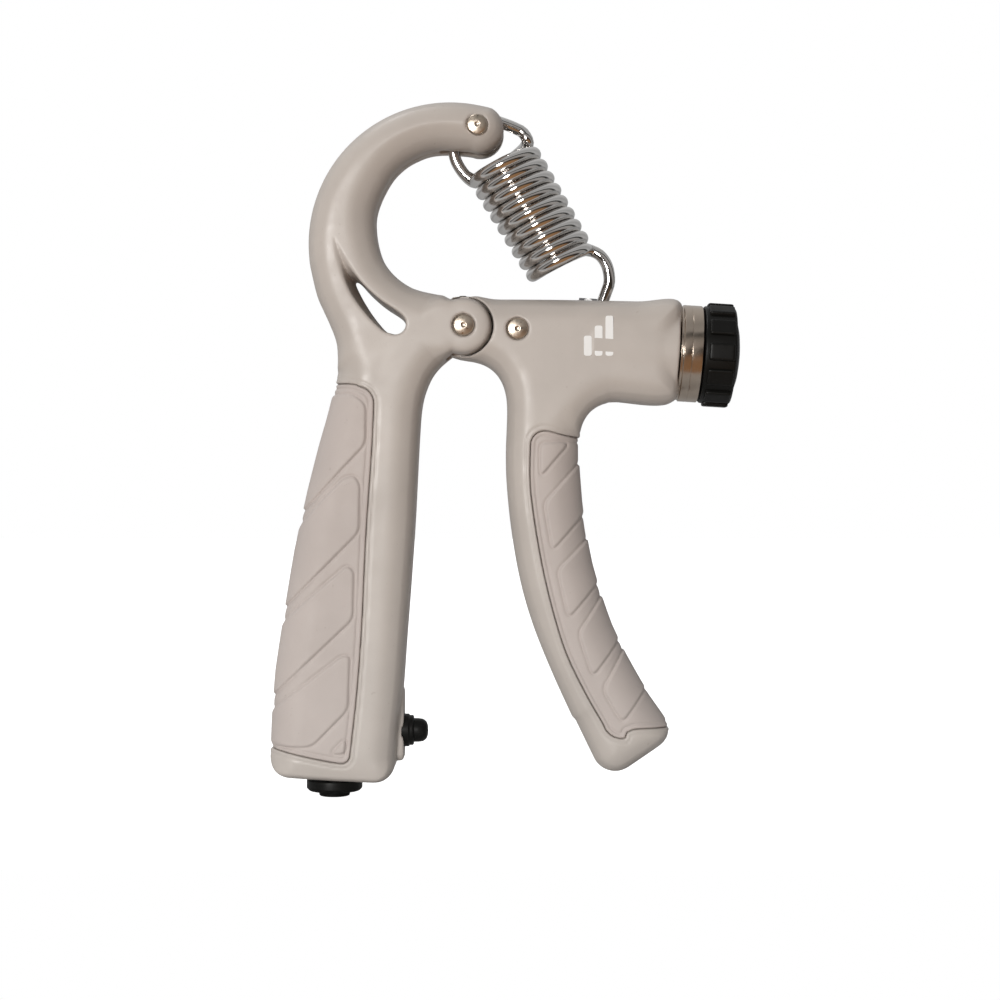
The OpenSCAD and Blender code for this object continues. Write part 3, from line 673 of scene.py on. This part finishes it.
def build_arm():
    """The right lever: two shell halves with the barrel, and its grip."""
    b = Block((-7.6, -11.4, -99.5), (49.5, 0.6, 9.5), SHELL_CELL)
    d2, zone, side = b.outline(ARM), b.outline(ARM_PAD), b.outline(ARM_SIDE)
    body = shell_half(b, d2, side, zone, [ARM_RIVET])
    s, rad = on_arm_axis(b)
    body = smin(body, axis_cylinder(s, rad, BARREL_START, BARREL_END, BARREL_R, 0.5), 0.6)
    body = cut(body, pin(b, (0, 0), EAR_R + EAR_GAP, -12, -TONGUE_HALF), 0.3)
    body = smin(body, pin(b, (0, 0), 6, -TONGUE_HALF, 9), 0.3)
    body = cut(body, axis_cylinder(s, rad, 15, 42, NUT_BORE_R), 0.3)
    body = cut(body, axis_cylinder(s, rad, 41, 50, BUSH_BORE_R), 0.3)
    body = cut(body, box_field(b, (20.8, -3.4, -4), (42, 9, 9), 1.2), 0.5)
    front = smax(body, b.y + HALF_GAP, 0.35)
    made = [mesh_field("arm_front_cover", b, front, SHELL)]
    rear = front
    for p in ARM_SCREWS:
        rear = cut(rear, pin(b, p, SCREW_RECESS_R, -HALF_T - 1, SCREW_FLOOR), 0.3)
    made.append(mesh_field("arm_rear_cover", b, rear, SHELL, mirror=True))
    for piece, node in zip(made, ("arm_front_shell", "arm_rear_shell")):
        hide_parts(node)
        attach(piece, "arm")

    b = Block((12.5, -11.2, -94.5), (46, 11.2, -20.5), PAD_CELL)
    d2, zone, side = b.outline(ARM), b.outline(ARM_PAD), b.outline(ARM_SIDE)
    pad = pad_field(b, d2, side, zone, ARM_PANELS)
    for p in ARM_SCREWS:
        pad = cut(pad, pin(b, p, PAD_HOLE_R, 4, 12), 0.3)
    pad = mesh_field("arm_soft_grip", b, pad, PAD)
    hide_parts("arm_grip_pad")
    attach(pad, "arm")


def build_rivets():
    """Domed heads with a dimple, on both faces, joined by their shank."""
    top = HALF_T - 0.1
    dome = [(r, top + 0.36 - 0.075 * r * r) for r in np.linspace(0.6, 2.1, 7)]
    half = ([(0.0, top + 0.16), (0.35, top + 0.2)] + dome
            + [(RIVET_R + 0.08, top - 0.35), (RIVET_R + 0.1, top - 0.85), (1.3, top - 0.9)])
    profile = half + [(r, -h) for r, h in reversed(half)]
    for name, node, p, body in (("hinge_rivet", "hinge_pin", (0, 0), "handle"),
                                ("spring_rivet", "spring_pin", SPRING_PIN, "handle"),
                                ("arm_joint_rivet", "arm_rivet", ARM_RIVET, "arm")):
        piece = lathe(name, profile, (p[0], 0, p[1]), (0, 1, 0), NICKEL, 64, 0.12)
        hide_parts(node)
        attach(piece, body)


# ------------------------------------------------------------------ arm end
ARM_AXIS = np.array([math.cos(ARM_TILT), 0, -math.sin(ARM_TILT)])
ARM_ORIGIN = np.array([0, 0, AXIS_Z])


def build_arm_end():
    """The ferrule, the adjuster knob with its lugs, and its cap."""
    ferrule = lathe("end_ring", [(6.5, 47.7), (10.45, 47.7), (10.45, 48.2), (10.75, 48.35), (10.75, 50.0),
                                 (10.68, 50.05), (10.68, 50.15), (10.75, 50.2), (10.75, 52.4), (10.5, 52.6),
                                 (6.5, 52.6), (6.5, 47.7)],
                    ARM_ORIGIN, ARM_AXIS, FERRULE, 160, 0.08)
    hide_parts("end_ferrule")
    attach(ferrule, "arm")

    knob = lathe("knob_body", [(3, 52.9), (10.6, 52.9), (10.8, 53.2), (10.8, 59.5), (10.4, 59.9),
                               (8.4, 59.9), (8.3, 59.1), (3.0, 59.1), (3.0, 52.9)],
                 ARM_ORIGIN, ARM_AXIS, BLACK, 144, 0.2)
    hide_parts("adjuster_knob")
    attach(knob, "knob")
    axis, u, v = basis(ARM_AXIS)
    for k in range(KNOB_LUGS):
        a = 2 * math.pi * k / KNOB_LUGS
        out, side = math.cos(a) * u + math.sin(a) * v, -math.sin(a) * u + math.cos(a) * v
        lug = rounded_box(f"knob_lug_{k + 1}", ARM_ORIGIN + 56.6 * axis + 10.55 * out,
                          (out, side, axis), (0.92, 1.9, 2.85), 0.45, BLACK)
        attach(lug, "knob")
    cap = lathe("knob_end_cap", [(0, 59.4), (8.2, 59.4), (8.2, 60.0), (7.6, 60.4), (6.0, 60.85), (4.0, 61.15),
                                 (2.0, 61.32), (0, 61.35)],
                ARM_ORIGIN, ARM_AXIS, BLACK, 96, 0.3)
    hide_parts("knob_cap")
    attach(cap, "knob")


def rounded_box(name, at, axes, half, r, material, n=4):
    """A block with rounded edges, as a subdivided cube pulled onto its rounded form."""
    grid = np.linspace(-1, 1, 2 * n + 1)
    verts, faces, index = [], [], {}
    half = np.array(half, float)

    def vertex(p):
        key = tuple(np.round(p, 5))
        if key not in index:
            q = np.array(p) * half
            core = np.clip(q, -(half - r), half - r)
            d = q - core
            length = np.linalg.norm(d)
            if length > r:
                q = core + d / length * r
            index[key] = len(verts)
            verts.append(np.array(at) + sum(q[k] * np.array(axes[k]) for k in range(3)))
        return index[key]

    warp = np.sign(grid) * np.abs(grid) ** 0.35
    for k in range(3):
        for sign in (-1, 1):
            for a in range(2 * n):
                for c in range(2 * n):
                    quad = []
                    for da, dc in ((0, 0), (1, 0), (1, 1), (0, 1)):
                        p = [0, 0, 0]
                        p[k] = sign
                        p[(k + 1) % 3], p[(k + 2) % 3] = warp[a + da], warp[c + dc]
                        quad.append(vertex(p))
                    faces.append(quad if sign > 0 else quad[::-1])
    return add_mesh(name, verts, faces, material)


# ------------------------------------------------------------------ spring
def build_spring():
    """The spring's wire, cut in three lengths that meet end to end."""
    middle = (SPRING_PIN + EYE) / 2
    axis = np.array([-math.sin(COIL_TILT), 0, math.cos(COIL_TILT)])
    right = np.array([math.cos(COIL_TILT), 0, math.sin(COIL_TILT)])
    at = np.array([middle[0], 0, middle[1]]) + 0.45 * right + 1.4 * axis
    count = COIL_TURNS * TURN_STEPS
    coil = []
    for i in range(count + 1):
        a, t = 2 * math.pi * i / TURN_STEPS, i / count - 0.5
        coil.append(at + (COIL_R + COIL_TAPER * t) * (math.cos(a) * right - math.sin(a) * np.array([0, 1, 0]))
                    + COIL_TURNS * COIL_PITCH * t * axis)
    loop = [(x, 0, z) for x, z in SPRING_LOOP]
    hook = [(x, 0, z) for x, z in arc((27.3, 5.9), 3.4, 195, 350, 9) + SPRING_SHANK]
    knots = hook + coil[::6] + loop
    line = smooth(knots, 0.75, closed=False)
    along = (line - at) @ axis
    rank = np.arange(len(line))
    length = COIL_TURNS * COIL_PITCH
    # The wire is cut where its turns pass these heights
    off_axis = np.hypot((line - at) @ right, line[:, 1])
    in_coil = np.abs(off_axis - COIL_R - COIL_TAPER * along / length) < 0.5
    low_cut = rank[(along > -length * 0.07) & in_coil][0]
    high_cut = rank[(along < length * 0.44) & in_coil][-1]
    # The loops at the ends look a little thinner than the close-wound turns
    inward = np.clip((0.53 - np.abs(along / length)) / 0.06, 0, 1)
    radius = WIRE_R + (COIL_WIRE_R - WIRE_R) * inward * inward * (3 - 2 * inward)
    parts = [("spring_lower_wire", slice(0, low_cut + 1), "spring_lower", "spring_foot", -0.09, -0.47,
              ("spring_lower_hook",)),
             ("spring_middle_wire", slice(low_cut, high_cut + 1), "spring_upper", "spring_lower", 0.44, -0.05,
              ("spring_lower_coils", "spring_upper_coils")),
             ("spring_upper_wire", slice(high_cut, len(line)), "spring_top", "spring_upper", 0.75, 0.47,
              ("spring_upper_loop",))]
    for name, share, a, b, start, end, nodes in parts:
        piece = tube(name, line[share], radius[share], CHROME, 24)
        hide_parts(*nodes)
        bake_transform(piece)


# ------------------------------------------------------------------ counter
def build_counter():
    """The counter's plunger, its collar and the reset knob."""
    origin = (0, 0, PLUNGER_Z)
    plunger = lathe("plunger_button", [(0, -17.9), (3.4, -17.9), (3.4, -16.9), (2.65, -16.9), (2.65, -10.2),
                                       (2.5, -9.1), (1.9, -8.35), (1.0, -8.05), (0, -8.0)],
                    origin, (1, 0, 0), BLACK, 72, 0.3)
    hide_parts("count_plunger")
    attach(plunger, "plunger")
    collar = lathe("plunger_sleeve", [(2.75, -16.4), (3.65, -16.4), (3.65, -12.3), (3.35, -12.1),
                                      (3.35, -11.4), (3.1, -11.2), (2.75, -11.2), (2.75, -16.4)],
                   origin, (1, 0, 0), BLACK, 72, 0.12)
    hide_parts("plunger_collar")
    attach(collar, "handle")
    reset = lathe("reset_button", [(1.5, -100.4), (6.0, -100.4), (6.2, -100.6), (6.2, -102.3), (5.6, -102.9),
                                   (3.5, -102.95), (3.4, -103.9), (3.1, -104.1), (0, -104.1), (0, -103.4),
                                   (1.5, -103.4), (1.5, -100.4)],
                  (SHAFT[0], 0, 0), (0, 0, 1), BLACK, 96, 0.18)
    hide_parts("reset_knob")
    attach(reset, "reset")


def plate(name, outline, place, material):
    """A thin plate over a closed outline; place(u, v, level) puts each point at level 0 or 1."""
    n = len(outline)
    verts = [place(u, v, level) for level in (0, 1) for u, v in outline]
    faces = [[k, (k + 1) % n, n + (k + 1) % n, n + k] for k in range(n)]
    return add_mesh(name, verts, faces + [list(range(n))[::-1], [n + k for k in range(n)]], material,
                    smooth_shading=False)


def build_print():
    """A generic mark of three rising bars, printed on the arm."""
    start, pitch, width, foot = 26.3, 2.35, 1.7, -6.75
    for k, height in enumerate((4.4, 6.6, 8.75)):
        left = start + pitch * k
        outline = round_corners([(left, foot), (left + width, foot), (left + width, height + foot),
                                 (left, height + foot)], 0.55)
        bar = plate(f"printed_bar_{k + 1}", outline,
                    lambda u, v, level: (u, -HALF_T + 0.1 - 0.14 * level, v), PRINT)
        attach(bar, "arm")


# Which strokes of a seven-stroke figure make each digit: top, upper right, lower right, bottom,
# lower left, upper left, middle
DIGIT_STROKES = ("012345", "12", "01346", "01236", "1256", "02356", "023456", "012", "0123456", "012356")
STROKES = [(-0.5, 1, 0.5, 1), (0.5, 0, 0.5, 1), (0.5, -1, 0.5, 0), (-0.5, -1, 0.5, -1), (-0.5, -1, -0.5, 0),
           (-0.5, 0, -0.5, 1), (-0.5, 0, 0.5, 0)]


def build_digits():
    """Digits 0 to 9 round each number wheel, reading upright through the rear window."""
    for wheel, body in (("units_wheel", "units"), ("tens_wheel", "tens"), ("hundreds_wheel", "hundreds")):
        low, high = local_box(wheel)
        c, r, half = (low + high) / 2, (high[0] - low[0]) / 2, 0.3 * (high[2] - low[2])
        verts, faces = [], []
        for digit, strokes in enumerate(DIGIT_STROKES):
            turn = math.radians(36 * digit)
            for k in strokes:
                u0, v0, u1, v1 = (np.array(STROKES[int(k)]) * [1.3, half, 1.3, half])
                w = 0.17
                at = len(verts)
                for level in (r - 0.04, r + 0.05):
                    for u in np.linspace(u0 - w, u1 + w, 4):
                        for v in (v0 - w, v1 + w):
                            a = turn - u / r
                            verts.append((c[0] + level * math.sin(a), c[1] + level * math.cos(a), c[2] + v))
                for i in range(3):
                    a = at + 8 + 2 * i
                    faces.append([a, a + 1, a + 3, a + 2])
                    faces.append([a - 8, a - 6, a - 5, a - 7])
                    for j in (0, 1):
                        edge = [a + j, a + 2 + j, a + 2 + j - 8, a + j - 8]
                        faces.append(edge if j == 0 else edge[::-1])
                for a in (at, at + 6):
                    edge = [a, a + 1, a + 9, a + 8]
                    faces.append(edge if a == at else edge[::-1])
        piece = add_mesh(f"{body}_digits", verts, faces, INK, smooth_shading=False)
        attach(piece, body)


def finish_cad_nodes():
    """Gives the CAD nodes that stay in view their material."""
    groups = {
        STEEL: ("handle_shell_screws", "arm_shell_screws", "pinion_shaft", "lever_spring", "adjusting_screw",
                "knob_screw", "traveller_pin", "counter_shaft"),
        ACETAL: ("counter_housing", "screw_bearing", "spring_pin_sleeve"),
        BLACK: ("window_bezel", "end_bush"),
        BRONZE: ("thrust_washer",),
        CAST: ("traveller_nut",),
        GLASS: ("counter_window",),
        ORANGE: ("count_lever", "tens_pinion", "hundreds_pinion"),
        WHITE: ("units_wheel", "tens_wheel", "hundreds_wheel"),
    }
    for material, names in groups.items():
        for name in names:
            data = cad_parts[name].data
            data.materials.clear()
            data.materials.append(material)


# ------------------------------------------------------------------ studio
def build_studio():
    """Camera, floor, two lamps and the backdrop."""
    camera = bpy.data.cameras.new("camera")
    camera.sensor_width = 36
    view_mm, distance = 220, 450
    camera.lens = camera.sensor_width * distance / view_mm
    camera.clip_start, camera.clip_end = 0.01, 20
    rig = bpy.data.objects.new("camera", camera)
    rig.location = HINGE + np.array([8.0, -distance - SILHOUETTE_DEPTH, -38.2]) * MM
    rig.rotation_euler = (math.pi / 2, 0, 0)
    bpy.context.scene.collection.objects.link(rig)
    bpy.context.scene.camera = rig

    stage = Shader("studio_white", Roughness=0.9)
    stage.colour(stage.ramp(stage.noise(6), [(0.3, (0.60, 0.60, 0.60)), (0.7, (0.62, 0.62, 0.62))]))
    stage.bsdf.inputs["Emission Color"].default_value = (1, 1, 1, 1)
    # The floor glows white to camera rays only, so it adds no light of its own to the object
    seen = stage.nodes.new("ShaderNodeLightPath")
    stage.links.new(seen.outputs["Is Camera Ray"], stage.bsdf.inputs["Emission Strength"])
    # The floor ends 90 mm in front of the object and lies just under it
    reach, front, level, n = 3.0, -0.09, -0.0002, 9
    verts = [(x, y, level) for y in np.linspace(front, reach, n) for x in np.linspace(-reach, reach, n)]
    faces = [(n * j + i, n * j + i + 1, n * j + i + n + 1, n * j + i + n)
             for j in range(n - 1) for i in range(n - 1)]
    mesh = bpy.data.meshes.new("studio_floor")
    mesh.from_pydata(verts, [], faces)
    mesh.polygons.foreach_set("use_smooth", [True] * len(mesh.polygons))
    mesh.materials.append(stage.material)
    floor = bpy.data.objects.new("studio_floor", mesh)
    bpy.context.scene.collection.objects.link(floor)

    for name, at, size, power, colour in (
            ("key", (-0.3, -0.9, 0.17), 0.3, 6.3, (1, 0.985, 0.965)),
            ("top", (-0.35, 0.1, 0.95), 0.35, 1.6, (1, 1, 1))):
        light = bpy.data.lights.new(name, "AREA")
        light.shape, light.size, light.energy, light.color = "DISK", size, power, colour
        lamp = bpy.data.objects.new(name, light)
        lamp.location = at
        lamp.rotation_euler = (Vector((0, 0, 0.08)) - Vector(at)).to_track_quat("-Z", "Y").to_euler()
        bpy.context.scene.collection.objects.link(lamp)

    world = bpy.data.worlds.new("studio")
    world.use_nodes = True
    nodes, links = world.node_tree.nodes, world.node_tree.links
    coords = nodes.new("ShaderNodeTexCoord")
    towards = nodes.new("ShaderNodeVectorMath")
    towards.operation = "DOT_PRODUCT"
    towards.inputs[1].default_value = (-0.25, 0.60, 0.76)
    ramp = nodes.new("ShaderNodeValToRGB")
    spread = nodes.new("ShaderNodeMapRange")
    spread.inputs["From Min"].default_value = -1
    stops = [(0.0, (0.34, 0.19, 0.09)), (0.12, (0.26, 0.15, 0.08)), (0.17, (0.03, 0.025, 0.02)),
             (0.24, (0.04, 0.035, 0.03)), (0.28, (0.32, 0.30, 0.29)), (0.44, (0.34, 0.33, 0.32)),
             (0.47, (0.04, 0.04, 0.035)), (0.54, (0.04, 0.04, 0.04)), (0.58, (0.45, 0.45, 0.45)),
             (0.75, (0.36, 0.36, 0.36)), (1, (0.6, 0.6, 0.6))]
    while len(ramp.color_ramp.elements) < len(stops):
        ramp.color_ramp.elements.new(0.5)
    for element, (at, colour) in zip(ramp.color_ramp.elements, stops):
        element.position, element.color = at, (*colour, 1)
    links.new(coords.outputs["Generated"], towards.inputs[0])
    links.new(towards.outputs["Value"], spread.inputs["Value"])
    links.new(spread.outputs["Result"], ramp.inputs["Fac"])
    links.new(ramp.outputs["Color"], nodes["Background"].inputs["Color"])
    nodes["Background"].inputs["Strength"].default_value = 1.0
    # The camera sees a white backdrop, and the object reflects the banded gradient above
    backdrop, path, either = (nodes.new(kind) for kind in
                              ("ShaderNodeBackground", "ShaderNodeLightPath", "ShaderNodeMixShader"))
    backdrop.inputs["Color"].default_value = (1, 1, 1, 1)
    links.new(path.outputs["Is Camera Ray"], either.inputs["Fac"])
    links.new(nodes["Background"].outputs[0], either.inputs[1])
    links.new(backdrop.outputs[0], either.inputs[2])
    links.new(either.outputs[0], nodes["World Output"].inputs["Surface"])
    bpy.context.scene.world = world
    bpy.context.scene.view_settings.view_transform = "Standard"


build_studio()
build_handle()
build_arm()
build_rivets()
build_arm_end()
build_spring()
build_counter()
build_print()
build_digits()
finish_cad_nodes()
